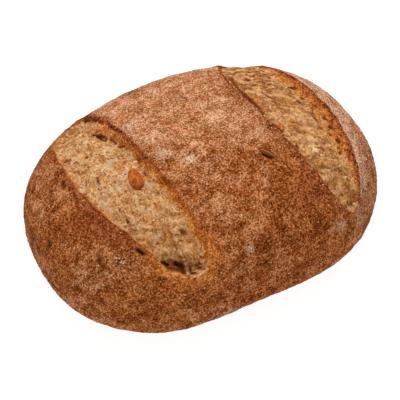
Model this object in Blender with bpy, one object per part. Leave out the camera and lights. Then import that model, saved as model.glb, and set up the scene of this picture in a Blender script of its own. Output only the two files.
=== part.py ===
"""Spelt bread: an oval hearth loaf, domed above, flat below, with two wide slashes that opened in the oven.

One solid. The crust's unevenness, the opened slashes with their lips, ramps and stretched crumb, and the
small pits are relief in it, and the kernels baked into the surface are joined to it. Metres, +Z up, the
length along X, the origin on the table under the middle of the loaf.
"""
import math

import bmesh
import bpy
import numpy as np
from mathutils import Matrix, Vector, kdtree, noise

# The loaf's driving sizes
HALF_LENGTH = 0.120        # half of the outline's long axis
HALF_WIDTH = 0.0907        # half of its short axis
HEIGHT = 0.087
BELLY_HEIGHT = 0.024       # height at which the loaf is widest
BASE_INSET = 0.24          # the flat base lies this share of the radius inside the widest outline
SIDE_INSET = 0.40          # and this much more of that share on the long sides
DOME_POWER = 2.58          # 2 is an ellipsoid's dome, more is a flatter top and a steeper side
OUTLINE_POWER = 2.29       # the same for the outline
OUTLINE_TAPER = -0.066     # the width grows towards -X
OUTLINE_LOBES = ((3, -0.017, -0.012), (5, 0.0, 0.008))   # waves round the outline: count, cosine, sine
OUTLINE_SHOULDER = 0.008   # the outline is this much fuller between its axes
RIM_LATITUDE = math.radians(52)   # below this latitude the sphere turns into the flat base

# Places on the loaf are given by X and by an angle about a lengthwise axis, 0 at the crown, + towards +Y
AXIS_HEIGHT = 0.020
ARC_RADIUS = 0.066         # distance from that axis to the crown, which turns the angle into a length
ARC_GROWTH = 0.10          # the sides lie further from the axis than the crown does

# How uneven the crust is: size of the swells and how far they stand out
SWELLS = ((0.060, 0.0009), (0.024, 0.00045), (0.010, 0.00018))
CRUST_SETTLE = 0.0005      # the crust lies this far under the smooth form on average
BASE_FADE = 0.010          # relief fades out over this height above the flat base

# Each slash is a lens that runs across the loaf, from its near end (-Y) to its far end (+Y), in degrees about
# the axis. Its centre line drifts along X. From its -X edge and its +X edge a ramp goes down to the stretched
# crumb, which rises again along the middle, and the crust stands up beside each edge as a lip.
SLASHES = {
    "minus_x": {
        "centre": -0.0683, "drift": 0.0211, "drift_from": 62.0, "drift_span": -126.0, "drift_power": 2.52,
        "half_width": 0.0234, "middle": -1.2, "near": -65.2, "far": 62.0, "roundness": 2.36,
        "depth": 0.0037, "near_depth": 0.0034, "far_depth": 0.0040, "crown_rise": 0.0013,
        "ramp_minus": 0.0030, "ramp_plus": 0.0072, "lip_minus": 0.0006, "lip_plus": 0.0011, "seed": 3.7,
    },
    "plus_x": {
        "centre": 0.0688, "drift": -0.0080, "drift_from": -60.0, "drift_span": 94.0, "drift_power": 2.0,
        "half_width": 0.0245, "middle": 16.0, "near": -68.5, "far": 63.0, "roundness": 1.95,
        "depth": 0.0032, "near_depth": 0.0012, "far_depth": 0.0014, "crown_rise": 0.0012,
        "ramp_minus": 0.0016, "ramp_plus": 0.0075, "lip_minus": 0.0008, "lip_plus": 0.0006, "seed": 8.1,
    },
}
NEAR_RUN = 26.0            # degrees over which a slash's depth changes to that of its near end
FAR_RUN = 34.0             # and of its far end
CROWN_RUN = 0.014          # the crumb rises over this distance from the foot of the ramp
SIDE_BLEND = 0.012         # width of the strip where the -X half of a slash turns into the +X half
EDGE_STEPS = 420
EDGE_WAVES = ((0.0069, 0.00054), (0.0031, 0.00038))    # an edge wanders from its smooth line: wave and reach
EDGE_CALM = 0.010          # and wanders less where the slash is narrower than this on each side
EDGE_DRAW = 0.00035        # points this close to an edge are moved onto it
LIP_REACH_OUT = 0.0050     # the lip falls away to the crust over this distance
LIP_REACH_IN = 0.0012
CRUMB_WRINKLES = ((0.011, 0.0009), (0.0045, 0.00045))  # stretched crumb in a slash: size and height
CRUMB_STRETCH = 2.2        # its wrinkles are this much longer along the slash than across
CRUMB_START = 0.0006       # and start this far inside the edge

# The near end of the -X slash drops into a pocket under the torn crumb
POCKET = {"x": -0.0560, "angle": -59.4, "along": 0.0118, "across": 0.0038, "depth": 0.0046, "turn": -40.0}
# A torn lump of crumb by the lip of the -X slash, with the gap under it
LUMP = {"x": -0.0535, "angle": 36.6, "along": 0.0050, "across": 0.0030, "depth": -0.0030, "turn": -62.0}
LUMP_GAP = {"x": -0.0568, "angle": 31.6, "along": 0.0056, "across": 0.0016, "depth": 0.0022, "turn": -62.0}
# The tear in the crumb that curves down to the end edge
TEAR = {"x": -0.0732, "angle": -37.6, "along": 0.0095, "across": 0.0010, "depth": 0.0013, "turn": 90.0}
# Small pits where bubbles broke the crust, from one rule: count, radius and depth
PIT_COUNT = 26
PIT_RADIUS = 0.0014
PIT_DEPTH = 0.0011
PIT_SEED = 11
PIT_FIELD = (0.105, 0.110)     # how far from the crown they lie, along X and round the axis

# Kernels and seeds in the surface: X, angle, length, width, thickness, heading from +X, share that is sunk in
KERNELS = {
    "whole_kernel": (-0.0519, -10.4, 0.0168, 0.0096, 0.0080, 83.0, 0.38),
    "crust_seed": (0.0304, -28.3, 0.0122, 0.0052, 0.0036, -55.0, 0.36),
    "back_seed": (-0.0120, 70.0, 0.0104, 0.0052, 0.0034, 24.0, 0.36),
    "far_seed": (0.0560, 74.0, 0.0098, 0.0050, 0.0036, 80.0, 0.36),
}

KERNEL_TAPER = 0.22        # one end of a kernel is this much narrower, the other this much wider
SEAT_POINTS = 12           # the surface faces the way that this many points do around a kernel

SPHERE_DETAIL = 8          # halvings of the icosahedron that the loaf is shaped from
LOAF_TRIANGLES = 10600
CRUST_COLOUR = (0.42, 0.20, 0.085, 1.0)
CRUST_ROUGHNESS = 0.75


def remove_scene_objects():
    for item in list(bpy.data.objects):
        bpy.data.objects.remove(item, do_unlink=True)


def ease(value):
    """A smooth step from 0 to 1."""
    value = np.clip(value, 0.0, 1.0)
    return value * value * (3.0 - 2.0 * value)


def outline(around):
    """The widest outline of the loaf, seen from above: X and Y for angles around the middle."""
    across, along = np.sin(around), np.cos(around)
    radius = np.abs(along / HALF_LENGTH) ** OUTLINE_POWER + np.abs(across / HALF_WIDTH) ** OUTLINE_POWER
    radius = radius ** (-1.0 / OUTLINE_POWER)
    swell = 1.0 + OUTLINE_SHOULDER * (1.0 - np.cos(4.0 * around))
    for count, cosine, sine in OUTLINE_LOBES:
        swell = swell + cosine * np.cos(count * around) + sine * np.sin(count * around)
    x = radius * swell * along
    y = radius * swell * across * (1.0 + OUTLINE_TAPER * x / HALF_LENGTH)
    return x, y


def smooth_loaf(directions):
    """Moves points of a unit sphere onto the loaf without its relief."""
    level = np.hypot(directions[:, 0], directions[:, 1])
    rise = directions[:, 2]
    x, y = outline(np.arctan2(directions[:, 1], directions[:, 0]))
    # The dome, from the belly to the crown
    reach = (level ** DOME_POWER + np.abs(rise) ** DOME_POWER) ** (-1.0 / DOME_POWER)
    dome_share = level * reach
    dome_height = BELLY_HEIGHT + (HEIGHT - BELLY_HEIGHT) * rise * reach
    # The rounded underside, then the flat base
    latitude = np.arctan2(-rise, level)
    turn = np.clip(latitude / RIM_LATITUDE, 0.0, 1.0) * math.pi / 2
    flat = np.clip((math.pi / 2 - latitude) / (math.pi / 2 - RIM_LATITUDE), 0.0, 1.0)
    inset = BASE_INSET * (1.0 + SIDE_INSET * (directions[:, 1] / np.maximum(level, 1e-9)) ** 2)
    under_share = (1.0 - inset * (1.0 - np.cos(turn))) * flat
    under_height = BELLY_HEIGHT * (1.0 - np.sin(turn))
    share = np.where(rise >= 0.0, dome_share, under_share)
    height = np.where(rise >= 0.0, dome_height, under_height)
    return np.column_stack((x * share, y * share, height))


def arc_length(angle):
    return ARC_RADIUS * angle * (1.0 + ARC_GROWTH * angle * angle)


def surface_place(points):
    """X, the angle about the lengthwise axis, and that angle as a length along the crust."""
    angle = np.arctan2(points[:, 1], points[:, 2] - AXIS_HEIGHT)
    return points[:, 0], angle, arc_length(angle)


def slash_centre(slash, angle):
    share = np.clip((np.degrees(angle) - slash["drift_from"]) / slash["drift_span"], 0.0, 1.0)
    return slash["centre"] + slash["drift"] * share ** slash["drift_power"]


def slash_half_width(slash, angle):
    degrees = np.degrees(angle) - slash["middle"]
    span = np.where(degrees < 0.0, slash["middle"] - slash["near"], slash["far"] - slash["middle"])
    share = np.clip(np.abs(degrees) / span, 0.0, 1.0)
    power = slash["roundness"]
    return slash["half_width"] * (1.0 - share ** power) ** (1.0 / power)


def slash_edges(slash):
    """The edge of a slash as points in the plane of X and arc length: its -X side, then its +X side."""
    steps = (1.0 - np.cos(np.linspace(0.0, math.pi, EDGE_STEPS))) / 2
    angle = np.radians(slash["near"] + (slash["far"] - slash["near"]) * steps)
    centre, half = slash_centre(slash, angle), slash_half_width(slash, angle)
    arc = arc_length(angle)
    calm = np.clip(half / EDGE_CALM, 0.0, 1.0)
    sides = []
    for side in (-1.0, 1.0):
        wander = sum(reach * np.sin(arc / wave + side + slash["seed"]) for wave, reach in EDGE_WAVES)
        sides.append(np.column_stack((centre + side * half + calm * wander, arc)))
    return sides


def edge_distance(slash, x, arc):
    """Distance into the slash, negative outside, the +X edge's share in each point, and the nearest edge."""
    minus_side, plus_side = slash_edges(slash)
    tree = kdtree.KDTree(len(minus_side) + len(plus_side))
    for index, point in enumerate(np.vstack((minus_side, plus_side))):
        tree.insert((point[0], point[1], 0.0), index)
    tree.balance()
    found = [tree.find((px, pa, 0.0)) for px, pa in zip(x, arc)]
    nearest = np.array([item[0] for item in found])[:, :2]
    distance = np.array([item[2] for item in found])
    low = np.interp(arc, minus_side[:, 1], minus_side[:, 0])
    high = np.interp(arc, plus_side[:, 1], plus_side[:, 0])
    inside = (x > low) & (x < high) & (arc > minus_side[0, 1]) & (arc < minus_side[-1, 1])
    belongs = ease(0.5 + (x - (low + high) / 2) / SIDE_BLEND)
    return np.where(inside, distance, -distance), belongs, nearest


def draw_to_edges(points):
    """Moves the points beside a slash's edge onto it, so that the edge is one clean line."""
    for slash in SLASHES.values():
        x, angle, arc = surface_place(points)
        distance, _, nearest = edge_distance(slash, x, arc)
        move_x, move_arc = nearest[:, 0] - x, nearest[:, 1] - arc
        move = np.column_stack((move_x, move_arc * np.cos(angle), -move_arc * np.sin(angle)))
        points = points + np.where((np.abs(distance) < EDGE_DRAW)[:, None], move, 0.0)
    return points


def noise_field(points, size, offset, stretch=1.0):
    """Smooth noise from about -1 to 1, whose grains are stretched across the loaf where asked."""
    grains = points / (size * np.array((1.0, stretch, stretch))) + offset
    return np.array([noise.noise(grain) for grain in grains])


def dent(x, arc, mark):
    """A smooth oval dent, or a lump where its depth is negative, turned in the surface."""
    turn = math.radians(mark["turn"])
    dx, da = x - mark["x"], arc - arc_length(math.radians(mark["angle"]))
    along = dx * math.cos(turn) + da * math.sin(turn)
    across = -dx * math.sin(turn) + da * math.cos(turn)
    return mark["depth"] * np.exp(-((along / mark["along"]) ** 4) - (across / mark["across"]) ** 2)


def slash_relief(slash, points, x, angle, arc):
    """Height of the surface over the smooth loaf in and beside one slash."""
    distance, plus, _ = edge_distance(slash, x, arc)
    degrees = np.degrees(angle)
    to_near = ease((degrees - slash["near"]) / NEAR_RUN)
    to_far = ease((slash["far"] - degrees) / FAR_RUN)
    depth = slash["depth"] * to_near * to_far
    depth = depth + slash["near_depth"] * (1.0 - to_near) + slash["far_depth"] * (1.0 - to_far)
    ramp = slash["ramp_minus"] * (1.0 - plus) + slash["ramp_plus"] * plus
    lip = slash["lip_minus"] * (1.0 - plus) + slash["lip_plus"] * plus
    inside = distance > 0.0
    rise = slash["crown_rise"] * ease((distance - ramp) / CROWN_RUN) * to_near
    floor = rise - depth * ease(distance / ramp)
    reach = np.where(inside, LIP_REACH_IN, LIP_REACH_OUT)
    relief = np.where(inside, floor, 0.0) + lip * np.exp(-((distance / reach) ** 2))
    # Torn, stretched crumb, longest along the slash, in folds with sharp bottoms
    crumb = np.zeros(len(points))
    chosen = np.nonzero(distance > CRUMB_START)[0]
    for size, height in CRUMB_WRINKLES:
        field = noise_field(points[chosen], size, slash["seed"], CRUMB_STRETCH)
        crumb[chosen] += height * (np.abs(field) * 2.0 - 0.5)
    return relief + crumb * ease(distance / ramp)


def crust_relief(points, x, arc):
    """Swells of the crust and the small pits in it."""
    relief = np.full(len(points), -CRUST_SETTLE)
    for index, (size, height) in enumerate(SWELLS):
        relief += height * noise_field(points, size, 5.3 + 2.1 * index)
    draw = np.random.default_rng(PIT_SEED)
    for _ in range(PIT_COUNT):
        centre_x, centre_arc = draw.uniform(-1.0, 1.0, 2) * PIT_FIELD
        radius, depth = PIT_RADIUS * draw.uniform(0.6, 1.4), PIT_DEPTH * draw.uniform(0.6, 1.3)
        away = ((x - centre_x) ** 2 + (arc - centre_arc) ** 2) / radius ** 2
        relief -= depth * np.exp(-away)
    return relief


def relief(points):
    """Height of the finished surface over the smooth loaf."""
    x, angle, arc = surface_place(points)
    height = crust_relief(points, x, arc)
    for slash in SLASHES.values():
        height += slash_relief(slash, points, x, angle, arc)
    for mark in (POCKET, LUMP, LUMP_GAP, TEAR):
        height -= dent(x, arc, mark)
    return height * ease(points[:, 2] / BASE_FADE)


def vertex_places(mesh):
    values = np.empty(len(mesh.vertices) * 3)
    mesh.vertices.foreach_get("co", values)
    return values.reshape(-1, 3)


def vertex_facings(mesh):
    values = np.empty(len(mesh.vertices) * 3)
    mesh.vertex_normals.foreach_get("vector", values)
    return values.reshape(-1, 3)


def make_crust_material():
    crust = bpy.data.materials.new("crust")
    crust.use_nodes = True
    shader = crust.node_tree.nodes["Principled BSDF"]
    shader.inputs["Base Color"].default_value = CRUST_COLOUR
    shader.inputs["Roughness"].default_value = CRUST_ROUGHNESS
    shader.inputs["Metallic"].default_value = 0.0
    crust.diffuse_color = CRUST_COLOUR
    return crust


def make_loaf(collection):
    """The loaf with its relief, from a sphere, centred over the origin."""
    bm = bmesh.new()
    bmesh.ops.create_icosphere(bm, subdivisions=SPHERE_DETAIL, radius=1.0)
    mesh = bpy.data.meshes.new("loaf")
    bm.to_mesh(mesh)
    bm.free()
    directions = vertex_places(mesh)
    directions /= np.linalg.norm(directions, axis=1)[:, None]
    points = draw_to_edges(smooth_loaf(directions))
    mesh.vertices.foreach_set("co", points.ravel())
    mesh.update()
    points = points + relief(points)[:, None] * vertex_facings(mesh)
    points[:, 2] = np.maximum(points[:, 2], 0.0)
    points[:, :2] -= (points[:, :2].max(axis=0) + points[:, :2].min(axis=0)) / 2
    mesh.vertices.foreach_set("co", points.ravel())
    mesh.update()
    loaf = bpy.data.objects.new("loaf", mesh)
    collection.objects.link(loaf)
    return loaf


def apply_modifier(item, modifier):
    with bpy.context.temp_override(object=item, active_object=item, selected_objects=[item]):
        bpy.ops.object.modifier_apply(modifier=modifier.name)


def thin_out(loaf):
    """Fewer triangles where the surface is plain."""
    modifier = loaf.modifiers.new("thin_out", "DECIMATE")
    modifier.ratio = LOAF_TRIANGLES / len(loaf.data.polygons)
    modifier.use_collapse_triangulate = True
    apply_modifier(loaf, modifier)


def seat(loaf_points, loaf_facings, x, angle):
    """The surface point nearest to a place, and the direction that the surface faces there."""
    place_x, _, place_arc = surface_place(loaf_points)
    away = (place_x - x) ** 2 + (place_arc - arc_length(math.radians(angle))) ** 2
    away = away + (loaf_points[:, 2] < AXIS_HEIGHT)
    near = np.argsort(away)[:SEAT_POINTS]
    facing = Vector(loaf_facings[near].mean(axis=0)).normalized()
    return Vector(loaf_points[near[0]]), facing


def make_kernel(name, loaf_points, loaf_facings, collection):
    """An egg-shaped kernel, blunt at one end, partly sunk in the surface."""
    x, angle, length, width, thickness, heading, sunk = KERNELS[name]
    place, facing = seat(loaf_points, loaf_facings, x, angle)
    bm = bmesh.new()
    bmesh.ops.create_icosphere(bm, subdivisions=2, radius=1.0)
    for vertex in bm.verts:
        taper = 1.0 - KERNEL_TAPER * vertex.co.x
        vertex.co = vertex.co * Vector((length, width * taper, thickness * taper)) / 2
    mesh = bpy.data.meshes.new(name)
    bm.to_mesh(mesh)
    bm.free()
    kernel = bpy.data.objects.new(name, mesh)
    collection.objects.link(kernel)
    along = Vector((math.cos(math.radians(heading)), math.sin(math.radians(heading)), 0.0))
    along = (along - facing * along.dot(facing)).normalized()
    turned = Matrix((along, facing.cross(along), facing)).transposed().to_4x4()
    lift = thickness * (0.5 - sunk)
    kernel.matrix_world = Matrix.Translation(place + facing * lift) @ turned
    return kernel


def join_kernels(loaf, kernels):
    """One Boolean union makes the loaf and its kernels one solid."""
    modifier = loaf.modifiers.new("join_kernels", "BOOLEAN")
    modifier.operation = "UNION"
    modifier.solver = "EXACT"
    modifier.operand_type = "COLLECTION"
    modifier.collection = kernels
    apply_modifier(loaf, modifier)
    for kernel in list(kernels.objects):
        bpy.data.objects.remove(kernel, do_unlink=True)
    bpy.data.collections.remove(kernels)


def main():
    remove_scene_objects()
    bread = bpy.data.collections.new("spelt_bread")
    bpy.context.scene.collection.children.link(bread)
    kernels = bpy.data.collections.new("kernels")
    bpy.context.scene.collection.children.link(kernels)
    loaf = make_loaf(bread)
    thin_out(loaf)
    points, facings = vertex_places(loaf.data), vertex_facings(loaf.data)
    for name in KERNELS:
        make_kernel(name, points, facings, kernels)
    bpy.context.view_layer.update()
    join_kernels(loaf, kernels)
    loaf.data.materials.clear()
    loaf.data.materials.append(make_crust_material())
    loaf.data.shade_smooth()


main()
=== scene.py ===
"""The finish of an oval spelt loaf: crust, opened slashes, kernels, bran and flour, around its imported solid."""
import math

import bmesh
import bpy
import numpy as np
from mathutils import Matrix, Vector, kdtree, noise


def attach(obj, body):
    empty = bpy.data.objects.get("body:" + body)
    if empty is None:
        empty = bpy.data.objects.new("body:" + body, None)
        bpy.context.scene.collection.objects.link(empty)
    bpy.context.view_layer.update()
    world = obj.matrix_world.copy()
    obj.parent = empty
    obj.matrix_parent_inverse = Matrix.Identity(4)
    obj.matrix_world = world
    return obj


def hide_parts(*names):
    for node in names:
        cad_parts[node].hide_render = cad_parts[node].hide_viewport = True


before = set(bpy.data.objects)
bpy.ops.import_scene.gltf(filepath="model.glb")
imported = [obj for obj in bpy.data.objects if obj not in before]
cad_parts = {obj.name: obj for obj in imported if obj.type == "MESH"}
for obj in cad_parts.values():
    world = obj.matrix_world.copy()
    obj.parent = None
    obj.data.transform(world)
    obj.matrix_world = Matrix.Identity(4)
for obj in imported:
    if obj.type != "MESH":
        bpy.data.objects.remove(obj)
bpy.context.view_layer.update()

BODY = "root"
MM = 0.001

# The loaf's form, as in its solid
HALF_LENGTH = 0.120        # half of the outline's long axis
HALF_WIDTH = 0.0907        # half of its short axis
HEIGHT = 0.087
BELLY_HEIGHT = 0.024       # height at which the loaf is widest
BASE_INSET = 0.24          # the flat base lies this share of the radius inside the widest outline
SIDE_INSET = 0.40          # and this much more of that share on the long sides
DOME_POWER = 2.58
OUTLINE_POWER = 2.29
OUTLINE_TAPER = -0.066
OUTLINE_LOBES = ((3, -0.017, -0.012), (5, 0.0, 0.008))
OUTLINE_SHOULDER = 0.008
RIM_LATITUDE = math.radians(52)

# Places on the loaf: X and an angle about a lengthwise axis, 0 at the crown, + towards +Y
AXIS_HEIGHT = 0.020
ARC_RADIUS = 0.066         # length along the crust for an angle of 1, and how much that grows away from the crown
ARC_GROWTH = 0.10

SWELLS = ((0.060, 0.0009), (0.024, 0.00045), (0.010, 0.00018))      # size and height of each
SWELL_PLACE = 5.3          # where in the noise the first swells lie, and how far on each next one
SWELL_STEP = 2.1
CRUST_SETTLE = 0.0005      # the crust lies this far under the smooth form on average
BASE_FADE = 0.010

SLASHES = {
    "minus_x": {
        "centre": -0.0683, "drift": 0.0211, "drift_from": 62.0, "drift_span": -126.0, "drift_power": 2.52,
        "half_width": 0.0234, "middle": -1.2, "near": -65.2, "far": 62.0, "roundness": 2.36,
        "depth": 0.0037, "near_depth": 0.0034, "far_depth": 0.0040, "crown_rise": 0.0013,
        "ramp_minus": 0.0030, "ramp_plus": 0.0072, "lip_minus": 0.0006, "lip_plus": 0.0011, "seed": 3.7,
    },
    "plus_x": {
        "centre": 0.0688, "drift": -0.0080, "drift_from": -60.0, "drift_span": 94.0, "drift_power": 2.0,
        "half_width": 0.0245, "middle": 16.0, "near": -68.5, "far": 63.0, "roundness": 1.95,
        "depth": 0.0032, "near_depth": 0.0012, "far_depth": 0.0014, "crown_rise": 0.0012,
        "ramp_minus": 0.0016, "ramp_plus": 0.0075, "lip_minus": 0.0008, "lip_plus": 0.0006, "seed": 8.1,
    },
}
NEAR_RUN = 26.0            # degrees over which a slash deepens from its near end, and from its far end
FAR_RUN = 34.0
CROWN_RUN = 0.014          # its floor rises over this length past the foot of the ramp
SIDE_BLEND = 0.012         # the looks of its two sides blend over this width
EDGE_STEPS = 420
EDGE_WAVES = ((0.0069, 0.00024), (0.0031, 0.00034))
EDGE_CALM = 0.010          # the edges wander less where the slash is narrower than this on each side
EDGE_DRAW = 0.00022        # points nearer than this to an edge are moved onto it
LIP_REACH_OUT = 0.0050     # how far a raised lip reaches over the crust, and into the slash
LIP_REACH_IN = 0.0012
CRUMB_WRINKLES = ((0.011, 0.0009), (0.0045, 0.00045))
CRUMB_STRETCH = 2.2
WRINKLE_GAIN = 2.0
WRINKLE_SINK = 0.5
CRUMB_START = 0.0006       # the crumb's wrinkles start this far inside the edge
FAR_FROM_EDGES = 0.030     # beyond this the exact distance to a slash doesn't matter
FINE_MARGIN = 0.0015       # the mesh is finer in the slashes and this far around them

POCKET = {"x": -0.0560, "angle": -59.4, "along": 0.0118, "across": 0.0038, "depth": 0.0046, "turn": -40.0}
LUMP = {"x": -0.0535, "angle": 36.6, "along": 0.0050, "across": 0.0030, "depth": -0.0030, "turn": -62.0}
LUMP_GAP = {"x": -0.0568, "angle": 31.6, "along": 0.0056, "across": 0.0016, "depth": 0.0022, "turn": -62.0}
TEAR = {"x": -0.0732, "angle": -37.6, "along": 0.0095, "across": 0.0010, "depth": 0.0013, "turn": 90.0}
PIT_COUNT = 26
PIT_RADIUS = 0.0014
PIT_DEPTH = 0.0011
PIT_SEED = 11
PIT_RADIUS_SPREAD = (0.6, 1.4)
PIT_DEPTH_SPREAD = (0.6, 1.3)
PIT_FIELD = (0.105, 0.110)

# Kernels and seeds: X, angle, length, width, thickness, heading from +X, share that is sunk in
KERNELS = {
    "whole_kernel": (-0.0519, -10.4, 0.0163, 0.0087, 0.0078, 83.0, 0.38),
    "crust_seed": (0.0295, -27.7, 0.0113, 0.0050, 0.0036, -55.0, 0.36),
    "back_seed": (-0.0120, 70.0, 0.0104, 0.0052, 0.0034, 24.0, 0.36),
    "far_seed": (0.0560, 74.0, 0.0098, 0.0050, 0.0036, 80.0, 0.36),
}
KERNEL_TAPER = 0.22
KERNEL_ROUGHNESS = 0.035
KERNEL_LUMPS = 2.3         # how many lumps of its roughness lie along half a kernel
KERNEL_LUCK = 0.9          # how far apart in the noise two kernels lie for each mm of X between them
CREASE_DEPTH = 0.06
CREASE = {"slant": 0.5, "shift": 0.05, "wave": 0.03, "waves": 7.0, "width": 0.07}
CREASE_PAINTED_SHADE = (0.45, -0.13, 0.11)     # painted shade beside the kernel's crease: how dark, where, and how wide
TIP_PAINTED_SHADOW = (0.60, -0.50, 0.45)        # painted shadow at the kernel's lower end: how dark, where that starts, and over what length
SEED_POINT = 0.42          # how far a seed's ends draw in to points
SEED_POINT_POWER = 1.6
SEED_GROOVE = (-0.30, 0.10)            # place and width across the seed
SEED_STRIPES = ((1.0, 0.10, 0.26), (0.6, -0.55, 0.10))     # strength, place and width of each
SEAT_POINTS = 12
BURN_SINK = 0.7            # mm that the surface sinks at a mark of the burn and shade table, and rises at a pale one
PALE_RISE = 0.35

KERNEL_DETAIL = 5
SPHERE_DETAIL = 8
LOAF_TRIANGLES = 190000

# The baked looks along each slash, by the angle in degrees: the width in mm of the ramp below the +X edge and of
# the rim below the -X edge, how scorched each edge's lip is, how much the crust beside it has reddened, how toasted
# and layered the crumb is, how much the crust around the end glows, and how much of the ramp is rust-brown
LOOKS = {
    "minus_x": {
        "ramp": ((-64, -58, -48, -42, -36, -30, -22, 14, 30, 45, 56, 62),
                 (0.8, 3.6, 6.0, 4.6, 4.2, 5.0, 6.0, 5.2, 4.6, 3.4, 1.8, 0.5)),
        "scorch_plus": ((-64, -28, -10, 4, 18, 28, 45), (0.0, 0.12, 0.36, 0.52, 0.70, 0.95, 1.35)),
        "scorch_minus": ((-64, -52, -40, 0, 40, 60), (0.0, 0.25, 0.50, 0.50, 0.40, 0.3)),
        "rim": ((-64, -55, -40, 20, 40, 60), (0.3, 0.6, 1.8, 1.8, 0.8, 0.3)),
        "blush_plus": ((-64, -45, 0, 25, 45), (0.1, 0.25, 0.25, 0.45, 0.6)),
        "blush_minus": ((-64, -52, -38, -20, -8, 10, 60), (0.0, 0.40, 1.0, 1.10, 0.45, 0.18, 0.15)),
        "toast": ((-64, -45, -25, 0, 40, 60), (0.65, 0.5, 0.25, 0.0, 0.0, 0.1)),
        "layers": ((-64, -45, -30, -14, 15, 40, 60), (0.5, 0.5, 0.40, 0.10, 0.15, 0.45, 0.5)),
        "glow": ((-64, 60), (1.0, 1.0)),
        "rust": ((-64, -20, -8, 5, 18, 45), (0.0, 0.10, 0.50, 0.75, 0.90, 0.95)),
    },
    "plus_x": {
        "ramp": ((-68, -60, -52, -42, -34, -3, 23, 33, 45, 56),
                 (0.6, 1.8, 4.6, 8.0, 11.0, 9.5, 8.5, 8.0, 5.5, 2.0)),
        "scorch_plus": ((-68, -58, -50, -20, 10, 40, 58), (0.2, 0.65, 0.75, 0.85, 0.62, 0.8, 1.3)),
        "scorch_minus": ((-66, -55, -30, -8, 35), (0.1, 0.5, 0.60, 1.1, 1.2)),
        "rim": ((-66, -50, 40), (0.5, 0.8, 1.2)),
        "blush_plus": ((-66, 0, 40), (0.0, 0.0, 0.1)),
        "blush_minus": ((-66, -55, -30, 0, 35), (0.2, 0.7, 0.9, 0.5, 0.4)),
        "toast": ((-68, -60, -52, -44, -10, 20, 50), (1.0, 1.0, 0.7, 0.35, 0.6, 0.65, 0.55)),
        "layers": ((-68, -40, -10, 15, 50), (0.75, 0.7, 0.65, 0.75, 0.9)),
        "glow": ((-68, 60), (0.1, 0.1)),
        "rust": ((-68, -45, 20, 60), (0.5, 0.30, 0.20, 0.3)),
    },
}
SCORCH_BAND = (0.35, 1.15)  # mm inside an edge where its lip is scorched most, and how far that reaches
BAKING_GAIN = 1.3          # how soon a scorched lip bakes the ramp below it
LOOK_FIELDS = ("ramp_place", "scorch", "baking", "blush", "toast", "layers", "rust", "glow", "plus_side")
BLUSH_MM = 7.0
BORDER_DUST_MM = 15.0      # the floury border outside the +X slash's +X edge, and the least X in mm that it has
BORDER_FROM = 50.0
BORDER_FLOUR = 0.72
LAYER_TURN = math.radians(28.0)      # the layers in the crumb run this far round from the loaf's length
GLOW_BELOW = -44.0         # below this angle the crust around a slash's end glows orange
GLOW_MM = 5.5
GLOW_FADE = 12.0           # degrees over which the glow sets in
DUST = {"from": -75.0, "span": 120.0, "least": 0.1, "more": 0.7, "from_x": -112.0, "span_x": 80.0}
BORDER_DUST = 0.65
ZONE_DUST = -0.55          # what a dark zone takes from the dust
MARK_FREE = 0.15           # loose bits keep off marks that are stronger than this,
RAMP_FREE = 1.1            # and off the ramp up to this share of its width
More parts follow.
